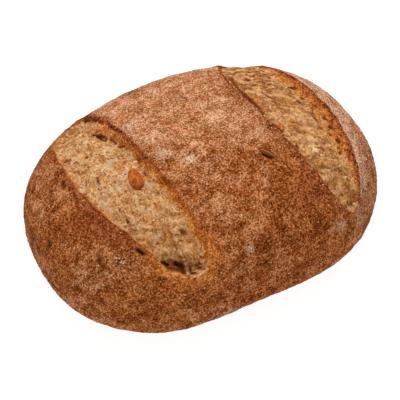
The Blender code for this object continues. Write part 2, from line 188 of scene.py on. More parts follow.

# Single marks as strokes in the plane of X and arc length, in mm: from, to, half width, strength
# Burnt spots, and painted shade: the strokes in and around the pocket at the left slash's near end paint the shade
# in its hollow, the two at X -72 to -74 mm, arc -35 to -44 mm, paint shade along the crease by the tear, and the
# three at X 25 to 30 mm paint the crust seed's contact shadow
BURNS_AND_PAINTED_SHADE = (
    (-64.7, -69.2, -62.2, -72.0, 1.1, 1.3), (-57.6, -72.6, -54.0, -77.2, 1.7, 0.85),
    (-55.2, -76.4, -53.8, -78.0, 0.8, 1.0), (-62.2, -73.8, -54.0, -80.2, 1.5, 0.72),
    (-55.9, -79.6, -53.7, -81.0, 0.6, 1.0), (-64.2, -72.3, -62.7, -73.6, 0.5, 0.8),
    (-49.3, -78.0, -49.6, -81.4, 0.9, 0.60), (-50.4, -82.5, -47.6, -83.0, 0.5, 1.0),
    (-44.8, -78.0, -44.1, -80.0, 2.0, 0.42), (-43.7, -77.3, -43.2, -78.2, 0.8, 0.80),
    (-45.6, -78.9, -44.7, -78.8, 0.7, 0.74), (-45.3, -80.8, -43.5, -80.1, 0.7, 0.78),
    (-41.4, -73.8, -40.9, -74.4, 0.9, 0.65), (-75.0, -57.4, -73.1, -60.9, 1.2, 1.25),
    (-59.8, 48.0, -58.2, 43.2, 0.8, 0.85), (-58.2, 43.2, -56.4, 39.8, 1.2, 0.95),
    (-56.0, 41.6, -54.0, 36.4, 1.0, 0.80), (-57.4, 46.2, -56.0, 43.6, 0.9, 0.55),
    (-57.0, 38.2, -55.4, 36.0, 0.8, 0.66), (-56.4, 67.4, -54.4, 62.6, 1.0, 1.05),
    (-53.1, 58.8, -52.1, 54.6, 0.8, 0.85), (-51.4, 51.4, -50.2, 46.0, 0.7, 0.6),
    (-52.4, 34.0, -51.2, 27.6, 1.1, 0.74), (-51.2, 23.6, -48.5, 20.4, 0.6, 1.0),
    (-75.6, 70.6, -71.0, 73.0, 1.3, 1.0), (-72.8, 29.6, -72.0, 29.0, 1.2, 0.6),
    (-67.9, 38.0, -67.2, 37.2, 0.9, 0.5), (-59.4, 16.8, -58.6, 16.0, 0.9, 0.5),
    (-46.6, 5.2, -46.8, 1.0, 0.8, 0.5), (-46.8, -6.4, -47.2, -9.0, 1.3, 0.5),
    (-92.6, 22.0, -93.4, 16.4, 1.8, 0.90), (-90.9, 5.6, -91.4, -4.0, 1.3, 0.66),
    (-91.2, -15.0, -89.6, -20.6, 1.3, 0.64), (-74.3, 7.6, -75.4, 1.6, 0.9, 0.62),
    (-72.3, -34.6, -72.5, -36.4, 0.8, 0.75), (-72.6, -36.4, -73.9, -44.0, 0.6, 0.36),
    (-46.4, -54.6, -44.4, -57.0, 1.7, 0.55), (25.0, -26.2, 26.2, -28.0, 1.1, 0.95),
    (25.0, -30.4, 28.6, -35.4, 0.9, 0.6), (-80.4, 20.0, -78.0, 17.0, 1.0, 0.45),
    (-80.6, 33.0, -78.6, 30.0, 1.0, 0.45), (-62.4, 47.0, -60.2, 44.6, 0.9, 0.4),
    (-84.0, 42.0, -81.6, 38.0, 1.3, 0.45), (-66.0, 26.0, -64.4, 23.6, 0.9, 0.42),
    (-56.0, -18.0, -54.6, -20.0, 0.8, 0.42), (45.2, 46.0, 42.9, 31.5, 1.4, 0.62),
    (42.9, 31.5, 43.8, 19.6, 1.6, 0.66), (43.8, 19.6, 45.3, 11.1, 1.8, 0.72),
    (45.3, 11.1, 45.0, 1.7, 1.4, 0.66), (46.4, -9.4, 48.6, -16.5, 1.5, 0.74),
    (73.0, -79.6, 76.4, -87.0, 3.2, 0.40), (27.0, -29.6, 30.0, -33.6, 2.6, 0.45),
    (53.6, 41.0, 54.6, 39.8, 1.3, 0.9), (79.0, 27.2, 80.6, 25.6, 1.4, 0.9),
    (76.6, -11.4, 77.8, -13.8, 1.1, 0.8), (83.2, -24.4, 83.8, -26.0, 1.3, 0.9),
    (82.8, -37.4, 83.0, -39.4, 1.2, 0.9), (78.2, -46.8, 78.8, -48.2, 0.9, 0.8),
    (71.4, -46.0, 71.8, -47.0, 0.9, 0.7), (74.8, 8.0, 75.8, 6.0, 0.9, 0.9),
    (80.6, -2.0, 81.2, -3.4, 0.8, 0.8), (84.0, -14.0, 84.6, -16.0, 0.9, 0.8),
    (79.6, -30.0, 80.0, -32.0, 0.8, 0.7), (68.4, 36.0, 70.0, 34.0, 0.9, 0.8),
    (80.0, 12.0, 81.0, 10.4, 0.8, 0.8), (76.0, -22.0, 76.4, -24.0, 0.8, 0.6),
    (73.6, 18.0, 75.2, 16.0, 0.8, 0.6), (45.4, 36.5, 56.4, 32.2, 0.6, 0.60),
    (53.9, 21.9, 60.0, 10.9, 0.7, 0.60), (60.4, 51.1, 74.8, 44.9, 0.8, 0.62),
    (61.9, 45.3, 71.2, 41.6, 0.7, 0.55), (58.0, 36.6, 66.0, 33.0, 0.6, 0.50),
    (49.4, 46.0, 55.4, 42.0, 0.6, 0.50), (66.4, 29.0, 71.0, 24.0, 1.6, 0.40),
    (60.0, -1.0, 63.0, -4.0, 1.2, 0.42), (46.6, -14.0, 48.2, -20.0, 0.8, 0.75),
    (51.8, -29.6, 51.6, -33.0, 0.7, 0.7), (73.4, -2.0, 74.6, -6.4, 0.9, 0.6),
    (-115.6, -16.4, -116.4, -22.4, 1.3, 1.0), (-96.4, -55.0, -97.4, -59.6, 1.2, 0.85),
    (-96.0, -50.0, -96.2, -53.4, 0.9, 0.5), (-34.9, -108.6, -33.6, -109.6, 1.2, 0.8),
    (-104.0, -92.0, -102.0, -96.8, 1.6, 0.62), (-120.2, -99.6, -120.2, -104.6, 1.3, 0.9),
    (-85.2, -66.2, -84.4, -69.0, 0.9, 0.5),
)
EMBERS = (
    (-74.7, 4.6, -71.0, 3.3, 1.1, 0.8), (-58.6, 5.0, -57.8, 4.2, 1.0, 0.5),
    (-52.8, -32.4, -50.6, -34.2, 1.0, 0.7), (-72.4, -28.8, -69.6, -31.4, 1.2, 0.5),
    (-55.2, 47.6, -52.0, 39.6, 2.4, 1.1), (-60.0, 58.0, -56.0, 52.0, 1.6, 0.5),
    (-52.4, 38.0, -50.4, 28.0, 1.8, 0.7), (-59.4, -73.6, -52.0, -78.8, 3.2, 0.66),
    (50.4, -10.6, 51.6, -15.0, 1.5, 0.9), (45.6, 23.4, 49.6, 14.0, 1.6, 0.6),
    (57.0, 12.0, 60.0, 9.0, 1.2, 0.4), (66.0, -2.0, 69.0, -5.4, 1.4, 0.5), (69.6, 3.0, 71.0, 0.6, 1.2, 0.4),
    (-72.6, 6.4, -72.4, 3.0, 1.0, 0.6), (-86.6, 26.0, -87.4, 12.0, 2.6, 0.42),
    (-84.0, -16.0, -81.0, -24.0, 1.4, 0.45),
)
PALES = (
    (-62.5, -76.8, -57.7, -81.2, 0.5, 0.50), (-57.7, -81.2, -50.8, -84.3, 0.6, 0.55),
    (-50.8, -84.3, -45.8, -84.1, 0.6, 0.60), (-45.8, -84.1, -40.9, -81.4, 0.8, 0.75),
    (-40.9, -81.4, -37.8, -75.4, 0.8, 0.65), (-52.0, -75.2, -51.2, -79.0, 1.1, 0.85),
    (-51.2, -79.4, -52.6, -82.0, 0.7, 0.90), (-47.2, -78.2, -48.0, -81.8, 0.8, 0.75),
    (-60.2, -72.9, -57.4, -70.4, 0.6, 0.80), (-78.0, -39.0, -76.0, -41.0, 1.1, 0.8),
    (59.4, -37.6, 62.6, -39.6, 2.0, 0.9), (63.6, -11.0, 66.0, -12.6, 1.8, 0.55),
    (65.3, -86.0, 69.7, -88.0, 0.9, 0.65), (69.7, -88.0, 73.6, -85.4, 0.9, 0.70),
    (73.6, -85.4, 74.2, -82.4, 0.7, 0.5), (-56.6, 20.6, -63.0, 24.6, 4.4, 0.5),
    (-52.6, -18.0, -57.6, -24.6, 3.6, 0.5), (-78.6, -3.0, -74.6, -8.0, 1.4, 0.5),
    (-80.0, 8.0, -81.6, 14.0, 1.2, 0.4), (-62.0, -30.0, -66.0, -36.0, 2.4, 0.4),
    (-70.0, 18.0, -62.0, -2.0, 8.0, 0.60), (70.0, -20.0, 66.0, -28.0, 2.6, 0.4),
)

# Broad patches on the crust, in mm: X, arc length, radius, strength
FLOUR = (
    (-8.8, 53.5, 6.0, 0.7), (-17.3, -14.9, 2.6, 1.2), (-20.0, -12.0, 6.0, 0.35), (-31.1, -2.3, 6.0, 0.7),
    (-38.3, 30.5, 7.0, 0.75), (-10.3, -80.2, 4.0, 0.65), (56.2, -93.5, 5.0, 0.7), (-85.6, -62.2, 1.6, 1.0),
    (-18.4, 5.9, 6.0, 0.35), (10.0, 104.0, 12.0, 0.6), (-60.0, 110.0, 10.0, 0.6), (62.0, 100.0, 9.0, 0.5),
)
DARK_ZONES = (
    (-104.9, -20.0, 12.0, 0.55), (-77.7, -105.5, 18.0, 0.5), (38.1, -62.4, 13.0, 0.9),
    (21.6, -64.1, 12.0, 0.6), (-92.0, -36.0, 8.0, 0.5), (79.0, -90.0, 9.0, 0.8), (98.0, -66.0, 10.0, -0.2),
    (-98.0, -74.0, 13.0, -0.65), (-83.0, -63.5, 8.0, -1.1), (-97.6, -22.0, 7.0, 0.25),
    (-88.0, -40.0, 7.0, 0.45), (-90.0, 0.0, 6.0, -0.3), (58.0, -90.0, 8.0, 0.3), (0.0, 118.0, 22.0, 0.5),
    (92.0, 80.0, 14.0, 0.4),
)

# The finish of the loaf. Noise: how X, Y and Z are scaled, grain size in mm, detail, roughness, and any distortion
NOISES = {
    "fine": ((1.0, 1.0, 1.0), 1.15, 3.0, 0.65),
    "grit": ((1.0, -1.0, 1.0), 0.75, 2.0, 0.6),
    "patch": ((1.0, 1.0, 1.0), 6.5, 3.0, 0.6),
    "blotch": ((1.0, -1.0, 1.0), 15.0, 3.0, 0.6),
    "streak": ((1.0, 0.32, 0.5), 1.7, 3.0, 0.6),
    "broad": ((1.0, -1.0, 1.0), 32.0, 2.0, 0.5),
    "hue": ((1.0, -1.0, 1.0), 9.0, 3.0, 0.6),
    "grey": ((1.0, 1.0, 1.0), 8.0, 3.0, 0.6),
    "contour": ((1.0, 0.6, 0.7), 5.5, 2.0, 0.5, 0.4),
    "cracking": ((1.0, -1.0, 1.0), 4.2, 1.0, 0.5),
    "border": ((1.0, -1.0, 1.0), 3.2, 2.0, 0.6),
    "layer": ((0.38, 1.0, 1.0), 3.6, 3.0, 0.6),
}
NOISE_MIDDLE = 0.5
GRANULE_MM = 1.0
FLECK_MM = 1.5
FLECK_STRETCH = (1.0, 0.55, 0.8)

# How much each noise, from its middle, adds to a value
GRAIN_PARTS = {"luck": 0.19, "patch": 0.30, "grit": 0.40}
RAGGED_PARTS = {"fine": 1.4, "patch": 0.4}
CRUST_PARTS = {"blotch": 0.36}
DUST_PARTS = {"broad": 1.6, "patch": 1.5}
TONE_PARTS = {"grain": 0.78, "streak": 0.46, "blotch": 0.30}
SLOPE_PARTS = {"patch": 1.3, "streak": 1.3, "grain": 0.6}
LIFT_PAINTED_SHADE = 0.20           # how much paler the crumb is painted where it stands up and darker in its hollows: painted light and painted shade on its relief
ZONE_BLUSH = 0.55
SPECK_FINE = 0.6
GREY_SHARE = (-0.38, 0.48)  # by how layered the crumb is: slope and start
BIT_SHARE = (0.9, -0.2)    # the same for crumbs on the ramp
BAKED_LIGHT = (3.0, -0.52)  # the ramp's brightness by its grain: slope and start
LAYER_SHARE = 0.95
LEAST_SLOPE = 0.46         # an edge without a scorched lip starts this far down the ramp's colours
BORDER_WANDER = (-3.4, 5.6)            # mm that the crust's border wanders, by the edge's +X share: slope and start
GRIT_WANDER = 1.4

# Smooth steps: the values where each starts and ends
STEPS = {
    "warm": (0.42, 0.62), "specks": (0.70, 0.92), "yellow": (0.46, 0.66), "grey": (0.50, 0.66),
    "fleck": (0.45, 0.20), "fleck luck": (0.74, 0.84), "crack": (0.032, 0.008), "cracking": (0.50, 0.58),
    "layer": (0.48, 0.62), "lifted": (0.48, 0.36), "bits": (0.74, 0.88), "foot": (1.25, 0.70),
    "opened": (-0.20, 0.25), "crack depth": (0.5, 1.5),
}

# Plain tints, laid on or multiplied in: share, then red, green and blue from 0 to 255 on screen
TINTS = {
    "warm": (0.55, 255, 226, 202), "flour": (1.0, 234, 208, 178), "yellow": (0.7, 255, 236, 182),
    "grey": (1.0, 212, 186, 156), "fleck": (0.6, 128, 72, 32), "crack": (0.75, 130, 78, 34),
    "lifted": (0.75, 240, 198, 142), "toast": (1.0, 226, 209, 190),
}

# Coats with a ragged border: the noise that frays it, the field's values where it starts and is full, reach, share
COATS = {
    "blush": ("patch", 0.06, 0.80, 1.4, 0.92),
    "bright glow": ("patch", 0.72, 1.05, 0.8, 1.0),
    "glow": ("patch", 0.0, 0.60, 1.0, 0.9),
    "flour": ("patch", 0.10, 0.95, 1.0, 1.0),
    "scorch": ("ragged", 0.15, 0.58, 1.0, 0.92),
    "ember": ("fine", 0.25, 0.70, 1.8, 1.0),
    "pale": ("fine", 0.30, 1.10, 1.0, 1.0),
    "singed_and_shade": ("fine", 0.12, 0.42, 1.8, 0.85),
    # the singed, burnt and char coats follow the burn and shade field: burnt spots, and painted shade in the
    # pocket, along the crease and around the crust seed
    "burnt": ("fine", 0.25, 0.70, 2.2, 1.0),
    "char_and_shadow": ("fine", 0.85, 1.15, 1.4, 1.0),
}
MARK_COATS = (("scorch", "scorch"), ("ember", "ember"), ("pale", "pale"), ("singed_and_shade", "burn"), ("burnt", "burn"),
              ("char_and_shadow", "burn"))        # each coat in its order, and the field that it follows

# Colour ramps: each stop's place, then red, green and blue from 0 to 255 on screen
RAMPS = {
    "low crust": ((0.27, 66, 24, 4), (0.44, 120, 58, 18), (0.54, 154, 84, 34), (0.72, 218, 154, 100)),
    "high crust": ((0.26, 98, 50, 18), (0.42, 156, 96, 54), (0.53, 190, 134, 94), (0.70, 238, 202, 170)),
    "blush": ((0.29, 60, 21, 7), (0.48, 112, 50, 22), (0.67, 178, 101, 57)),
    "glow": ((0.30, 132, 60, 18), (0.50, 182, 96, 38), (0.70, 230, 158, 86)),
    "bright glow": ((0.32, 160, 92, 30), (0.60, 220, 164, 86)),
    "crumb": ((0.22, 112, 66, 28), (0.38, 174, 118, 68), (0.50, 202, 150, 98), (0.70, 238, 204, 162)),
    "layer": ((0.34, 92, 42, 16), (0.64, 172, 106, 56)),
    "ramp": ((0.0, 98, 38, 10), (0.16, 134, 62, 20), (0.45, 174, 94, 34), (0.8, 202, 132, 62), (1.0, 210, 150, 86)),
    "rust": ((0.30, 98, 34, 8), (0.50, 164, 84, 34), (0.70, 220, 148, 86)),
    "scorch": ((0.30, 40, 12, 4), (0.50, 110, 46, 18), (0.68, 190, 110, 62)),
    "ember": ((0.34, 140, 62, 20), (0.62, 220, 136, 72)),
    "pale": ((0.34, 206, 156, 104), (0.62, 240, 210, 172)),
    # colours of burnt spots, which also paint the shade in the pocket, along the crease and around the crust seed
    "singed_and_shade": ((0.34, 112, 46, 14), (0.64, 176, 98, 48)),
    "burnt": ((0.34, 50, 19, 6), (0.64, 116, 62, 30)),
    "char_and_shadow": ((0.34, 22, 8, 3), (0.64, 22, 8, 3)),
}
BREAD_SHINE = 0.03
BUMPS = {"grain": 1.1, "grit": 0.30, "crack": -0.30, "strength": 0.6, "distance": 0.001}

# The relief that a geometry tree adds to the loaf: sizes and heights in metres
CRUST_GRAIN = {
    "Grain Size": 0.0024, "Grain Height": 0.0011, "Blister Size": 0.0080, "Blister Height": 0.0016,
    "Crumb Size": 0.0026, "Crumb Height": 0.0020, "Fold Size": 0.0060, "Fold Height": 0.0024, "Fold Stretch": 2.0,
}
CRUST_GRAIN_DETAIL = {"Grain": 2.0, "Blister": 2.0, "Crumb": 3.0, "Fold": 1.0}
CRUMB_FROM = (0.2, 2.2)    # mm inside an edge where the crust's grain turns into the crumb's

# Loose bits: slot, colours, roughness, seed, how round, the range in mm inside an edge, and the sizes of their tree
SCATTERS = {
    "flour_grains": {
        "slot": "crust", "dark": (160, 96, 54), "light": (232, 192, 152), "roughness": 0.8,
        "seed": 3, "detail": 1, "range": (-40.0, -0.8),
        "sizes": {"Density": 1.3e5, "Least Length": 0.0005, "Most Length": 0.0013, "Least Width": 0.0004,
                  "Most Width": 0.0009, "Thickness": 0.0005, "Tilt": 0.4, "Wobble Size": 0.0010, "Wobble": 0.0002,
                  "Dust Need": 1.0}},
    "bran_flakes": {
        "slot": "crumb", "dark": (126, 68, 30), "light": (194, 132, 78), "roughness": 0.7,
        "seed": 23, "detail": 2, "range": (1.0, 60.0),
        "sizes": {"Density": 1.6e4, "Least Length": 0.0014, "Most Length": 0.0032, "Least Width": 0.0008,
                  "Most Width": 0.0018, "Thickness": 0.00035, "Tilt": 0.5, "Wobble Size": 0.0012, "Wobble": 0.0009,
                  "Dust Need": 0.0}},
    "crumb_shreds": {
        "slot": "crumb", "dark": (176, 120, 68), "light": (226, 184, 132), "roughness": 0.8,
        "seed": 41, "detail": 2, "range": (1.5, 60.0),
        "sizes": {"Density": 1.5e4, "Least Length": 0.0014, "Most Length": 0.0038, "Least Width": 0.0008,
                  "Most Width": 0.0020, "Thickness": 0.00060, "Tilt": 0.30, "Wobble Size": 0.0014, "Wobble": 0.0016,
                  "Dust Need": 0.0}},
}
SCATTER_RELIEF = 0.5       # bits lie only where the relief has at least this share of its height
SCATTER_DUST = 0.15        # what is added to the dust before it thins out the bits that need it

# Noise on a bit and on a skin: size in mm, and for a skin detail and roughness
BIT_MOTTLE_MM = 0.9
BIT_MOTTLE = 0.8           # how far its colour differs within a bit
SKIN_MOTTLE = (2.8, 4.0, 0.65)
SKIN_STEP = (0.40, 0.60)
SKIN_WRINKLES = (0.8, 3.0, 0.6)

# The kernels' skins: light, dark, and a third colour: the seed's stripes, and on the kernel the painted shade
# beside its crease and the painted shadow at its lower end
SKINS = {"kernel_skin": ((196, 102, 40), (150, 66, 20), (104, 36, 6)),
         "seed_skin": ((76, 32, 8), (48, 18, 4), (168, 92, 32))}

# Floor and light
FLOOR_REACH = 3.0
FLOOR_DROP = 0.0002
FLOOR_GREY = 0.16
FLOOR_GLOW = 0.92
SKY_STRENGTH = 0.62
LIGHTS = (                 # place, size and watts
    ("overhead", (0.15, 0.40, 1.10), 0.9, 10.0),
    ("front", (-0.6, -0.7, 1.0), 1.0, 1.6),
)
LIGHT_TARGET = (0.0, 0.0, 0.05)
WHITE = (1.0, 1.0, 1.0, 1.0)

# The camera: the photograph's frame and where the loaf's own middle lies in it, in pixels of 400
PICTURE = 400.0
MIDDLE_PIXEL = (204.65, 182.31)
MIDDLE_HEIGHT = 0.040      # the height of the point that lies at that pixel
CAMERA_AZIMUTH = -28.1
CAMERA_ELEVATION = 48.0
CAMERA_DISTANCE = 0.90
PIXELS_PER_METRE = 1504.6  # at that distance
SENSOR = 36.0


def ease(value):
    """A smooth step from 0 to 1."""
    value = np.clip(value, 0.0, 1.0)
    return value * value * (3.0 - 2.0 * value)


def rgb(red, green, blue):
    """A colour given as 0 to 255 on screen, as linear values."""
    linear = []
    for value in (red, green, blue):
        share = value / 255.0
        linear.append(share / 12.92 if share <= 0.04045 else ((share + 0.055) / 1.055) ** 2.4)
    return (*linear, 1.0)


# The loaf's surface


def outline(around):
    across, along = np.sin(around), np.cos(around)
    radius = np.abs(along / HALF_LENGTH) ** OUTLINE_POWER + np.abs(across / HALF_WIDTH) ** OUTLINE_POWER
    radius = radius ** (-1.0 / OUTLINE_POWER)
    swell = 1.0 + OUTLINE_SHOULDER * (1.0 - np.cos(4.0 * around))
    for count, cosine, sine in OUTLINE_LOBES:
        swell = swell + cosine * np.cos(count * around) + sine * np.sin(count * around)
    x = radius * swell * along
    y = radius * swell * across * (1.0 + OUTLINE_TAPER * x / HALF_LENGTH)
    return x, y


def smooth_loaf(directions):
    """Moves points of a unit sphere onto the loaf without its relief."""
    level = np.hypot(directions[:, 0], directions[:, 1])
    rise = directions[:, 2]
    x, y = outline(np.arctan2(directions[:, 1], directions[:, 0]))
    reach = (level ** DOME_POWER + np.abs(rise) ** DOME_POWER) ** (-1.0 / DOME_POWER)
    dome_share = level * reach
    dome_height = BELLY_HEIGHT + (HEIGHT - BELLY_HEIGHT) * rise * reach
    latitude = np.arctan2(-rise, level)
    turn = np.clip(latitude / RIM_LATITUDE, 0.0, 1.0) * math.pi / 2
    flat = np.clip((math.pi / 2 - latitude) / (math.pi / 2 - RIM_LATITUDE), 0.0, 1.0)
    inset = BASE_INSET * (1.0 + SIDE_INSET * (directions[:, 1] / np.maximum(level, 1e-9)) ** 2)
    under_share = (1.0 - inset * (1.0 - np.cos(turn))) * flat
    under_height = BELLY_HEIGHT * (1.0 - np.sin(turn))
    share = np.where(rise >= 0.0, dome_share, under_share)
    height = np.where(rise >= 0.0, dome_height, under_height)
    return np.column_stack((x * share, y * share, height))


def arc_length(angle):
    return ARC_RADIUS * angle * (1.0 + ARC_GROWTH * angle * angle)


def surface_place(points):
    """X, the angle about the lengthwise axis, and that angle as a length along the crust."""
    angle = np.arctan2(points[:, 1], points[:, 2] - AXIS_HEIGHT)
    return points[:, 0], angle, arc_length(angle)


def slash_centre(slash, angle):
    share = np.clip((np.degrees(angle) - slash["drift_from"]) / slash["drift_span"], 0.0, 1.0)
    return slash["centre"] + slash["drift"] * share ** slash["drift_power"]


def slash_half_width(slash, angle):
    degrees = np.degrees(angle) - slash["middle"]
    span = np.where(degrees < 0.0, slash["middle"] - slash["near"], slash["far"] - slash["middle"])
    share = np.clip(np.abs(degrees) / span, 0.0, 1.0)
    power = slash["roundness"]
    return slash["half_width"] * (1.0 - share ** power) ** (1.0 / power)


def slash_edges(slash):
    """The edge of a slash as points in the plane of X and arc length: its -X side, then its +X side."""
    steps = (1.0 - np.cos(np.linspace(0.0, math.pi, EDGE_STEPS))) / 2
    angle = np.radians(slash["near"] + (slash["far"] - slash["near"]) * steps)
    centre, half = slash_centre(slash, angle), slash_half_width(slash, angle)
    arc = arc_length(angle)
    calm = np.clip(half / EDGE_CALM, 0.0, 1.0)
    sides = []
    for side in (-1.0, 1.0):
        wander = sum(reach * np.sin(arc / wave + side + slash["seed"]) for wave, reach in EDGE_WAVES)
        sides.append(np.column_stack((centre + side * half + calm * wander, arc)))
    return sides


def edge_distance(slash, x, arc):
    """Distance into the slash, negative outside, the +X edge's share in each point, and the nearest edge."""
    minus_side, plus_side = slash_edges(slash)
    tree = kdtree.KDTree(len(minus_side) + len(plus_side))
    for index, point in enumerate(np.vstack((minus_side, plus_side))):
        tree.insert((point[0], point[1], 0.0), index)
    tree.balance()
    low = np.interp(arc, minus_side[:, 1], minus_side[:, 0])
    high = np.interp(arc, plus_side[:, 1], plus_side[:, 0])
    distance = np.full(len(x), FAR_FROM_EDGES)
    nearest = np.column_stack((x, arc))
    for index in np.nonzero(np.abs(x - (low + high) / 2) < slash["half_width"] + FAR_FROM_EDGES)[0]:
        place, _, distance[index] = tree.find((x[index], arc[index], 0.0))
        nearest[index] = place[:2]
    inside = (x > low) & (x < high) & (arc > minus_side[0, 1]) & (arc < minus_side[-1, 1])
    belongs = ease(0.5 + (x - (low + high) / 2) / SIDE_BLEND)
    return np.where(inside, distance, -distance), belongs, nearest


def draw_to_edges(points):
    """Moves the points beside a slash's edge onto it, so that the edge is one clean line."""
    for slash in SLASHES.values():
        x, angle, arc = surface_place(points)
        distance, _, nearest = edge_distance(slash, x, arc)
        move_x, move_arc = nearest[:, 0] - x, nearest[:, 1] - arc
        move = np.column_stack((move_x, move_arc * np.cos(angle), -move_arc * np.sin(angle)))
        points = points + np.where((np.abs(distance) < EDGE_DRAW)[:, None], move, 0.0)
    return points


def noise_field(points, size, offset, stretch=1.0):
    """Smooth noise from about -1 to 1, whose grains are stretched across the loaf where asked."""
    grains = points / (size * np.array((1.0, stretch, stretch))) + offset
    return np.array([noise.noise(grain) for grain in grains])


def dent(x, arc, mark):
    """A smooth oval dent, or a lump where its depth is negative, turned in the surface."""
    turn = math.radians(mark["turn"])
    dx, da = x - mark["x"], arc - arc_length(math.radians(mark["angle"]))
    along = dx * math.cos(turn) + da * math.sin(turn)
    across = -dx * math.sin(turn) + da * math.cos(turn)
    return mark["depth"] * np.exp(-((along / mark["along"]) ** 4) - (across / mark["across"]) ** 2)


def slash_relief(slash, points, angle, distance, plus):
    """Height of the surface over the smooth loaf in and beside one slash."""
    degrees = np.degrees(angle)
    to_near = ease((degrees - slash["near"]) / NEAR_RUN)
    to_far = ease((slash["far"] - degrees) / FAR_RUN)
    depth = slash["depth"] * to_near * to_far
    depth = depth + slash["near_depth"] * (1.0 - to_near) + slash["far_depth"] * (1.0 - to_far)
    ramp = slash["ramp_minus"] * (1.0 - plus) + slash["ramp_plus"] * plus
    lip = slash["lip_minus"] * (1.0 - plus) + slash["lip_plus"] * plus
    inside = distance > 0.0
    rise = slash["crown_rise"] * ease((distance - ramp) / CROWN_RUN) * to_near
    floor = rise - depth * ease(distance / ramp)
    reach = np.where(inside, LIP_REACH_IN, LIP_REACH_OUT)
    relief = np.where(inside, floor, 0.0) + lip * np.exp(-((distance / reach) ** 2))
    crumb = np.zeros(len(points))
    chosen = np.nonzero(distance > CRUMB_START)[0]
    for size, height in CRUMB_WRINKLES:
        field = noise_field(points[chosen], size, slash["seed"], CRUMB_STRETCH)
        crumb[chosen] += height * (np.abs(field) * WRINKLE_GAIN - WRINKLE_SINK)
    return relief + crumb * ease(distance / ramp)


def crust_relief(points, x, arc):
    """Swells of the crust and the small pits in it."""
    relief = np.full(len(points), -CRUST_SETTLE)
    for index, (size, height) in enumerate(SWELLS):
        relief += height * noise_field(points, size, SWELL_PLACE + SWELL_STEP * index)
    draw = np.random.default_rng(PIT_SEED)
    for _ in range(PIT_COUNT):
        centre_x, centre_arc = draw.uniform(-1.0, 1.0, 2) * PIT_FIELD
        radius = PIT_RADIUS * draw.uniform(*PIT_RADIUS_SPREAD)
        depth = PIT_DEPTH * draw.uniform(*PIT_DEPTH_SPREAD)
        away = ((x - centre_x) ** 2 + (arc - centre_arc) ** 2) / radius ** 2
        relief -= depth * np.exp(-away)
    return relief


def vertex_places(mesh):
    values = np.empty(len(mesh.vertices) * 3)
    mesh.vertices.foreach_get("co", values)
    return values.reshape(-1, 3)


def vertex_facings(mesh):
    values = np.empty(len(mesh.vertices) * 3)
    mesh.vertex_normals.foreach_get("vector", values)
    return values.reshape(-1, 3)


def store(mesh, name, values):
    layer = mesh.attributes.new(name, "FLOAT", "POINT")
    layer.data.foreach_set("value", np.asarray(values, dtype=np.float32))


def sphere_mesh():
    """A fine sphere, finer still where the slashes come to lie."""
    bm = bmesh.new()
    bmesh.ops.create_icosphere(bm, subdivisions=SPHERE_DETAIL, radius=1.0)
    bm.verts.ensure_lookup_table()
    directions = np.array([vertex.co[:] for vertex in bm.verts])
    x, angle, arc = surface_place(smooth_loaf(directions))
    wanted = np.zeros(len(x), dtype=bool)
    for slash in SLASHES.values():
        distance, _, _ = edge_distance(slash, x, arc)
        wanted |= distance > -FINE_MARGIN
    edges = [edge for edge in bm.edges if wanted[edge.verts[0].index] and wanted[edge.verts[1].index]]
    bmesh.ops.subdivide_edges(bm, edges=edges, cuts=1, use_grid_fill=True)
    bmesh.ops.triangulate(bm, faces=bm.faces)
    mesh = bpy.data.meshes.new("loaf")
    bm.to_mesh(mesh)
    bm.free()
    return mesh


def strokes(x_mm, arc_mm, table):
    """How strongly any of the strokes covers each point, 0 to about 1."""
    cover = np.zeros(len(x_mm))
    for x0, arc0, x1, arc1, half_width, strength in table:
        run = np.array((x1 - x0, arc1 - arc0))
        away_x, away_arc = x_mm - x0, arc_mm - arc0
        share = np.clip((away_x * run[0] + away_arc * run[1]) / max(run @ run, 1e-9), 0.0, 1.0)
        away = (away_x - share * run[0]) ** 2 + (away_arc - share * run[1]) ** 2
        cover = np.maximum(cover, strength * np.exp(-away / half_width ** 2))
    return cover


def patches(x_mm, arc_mm, table):
    """The sum of broad round patches at each point."""
    cover = np.zeros(len(x_mm))
    for x, arc, radius, strength in table:
        cover += strength * np.exp(-((x_mm - x) ** 2 + (arc_mm - arc) ** 2) / radius ** 2)
    return cover


def baked_looks(looks, degrees, distance, plus):
    """One slash's share in the looks fields: place on the ramp, scorched lips, reddened and glowing crust."""
    def along(name):
        return np.interp(degrees, *looks[name])

    def both(name):
        return along(name + "_plus") * plus + along(name + "_minus") * (1.0 - plus)

    width = along("ramp") * plus + along("rim") * (1.0 - plus)
    outside = np.maximum(-distance, 0.0)
    scorched_at, scorch_reach = SCORCH_BAND
    return {
        "ramp_place": np.where(distance > 0.0, distance / width, 0.0),
        "scorch": both("scorch") * np.exp(-(((distance - scorched_at) / scorch_reach) ** 2)),
        "blush": both("blush") * np.exp(-outside / BLUSH_MM),
        "toast": along("toast"),
        "layers": along("layers"),
        "rust": along("rust"),
        "baking": np.clip(both("scorch") * BAKING_GAIN, 0.0, 1.0),
        "glow": along("glow") * np.exp(-outside / GLOW_MM) * ease((GLOW_BELOW - degrees) / GLOW_FADE),
    }


def add_slashes(height, points, angle, x, arc):
    """Adds the slashes' relief to the height, and gives the mm inside the nearest edge and that slash's looks."""
    edge = np.full(len(x), -FAR_FROM_EDGES / MM)
    fields = {name: np.zeros(len(x)) for name in LOOK_FIELDS}
    for name, slash in SLASHES.items():
        distance, plus, _ = edge_distance(slash, x, arc)
        height += slash_relief(slash, points, angle, distance, plus)
        looks = baked_looks(LOOKS[name], np.degrees(angle), distance / MM, plus)
        looks["plus_side"] = plus
        closer = distance / MM > edge
        edge = np.where(closer, distance / MM, edge)
        for field, values in looks.items():
            fields[field] = np.where(closer, values, fields[field])
    return edge, fields


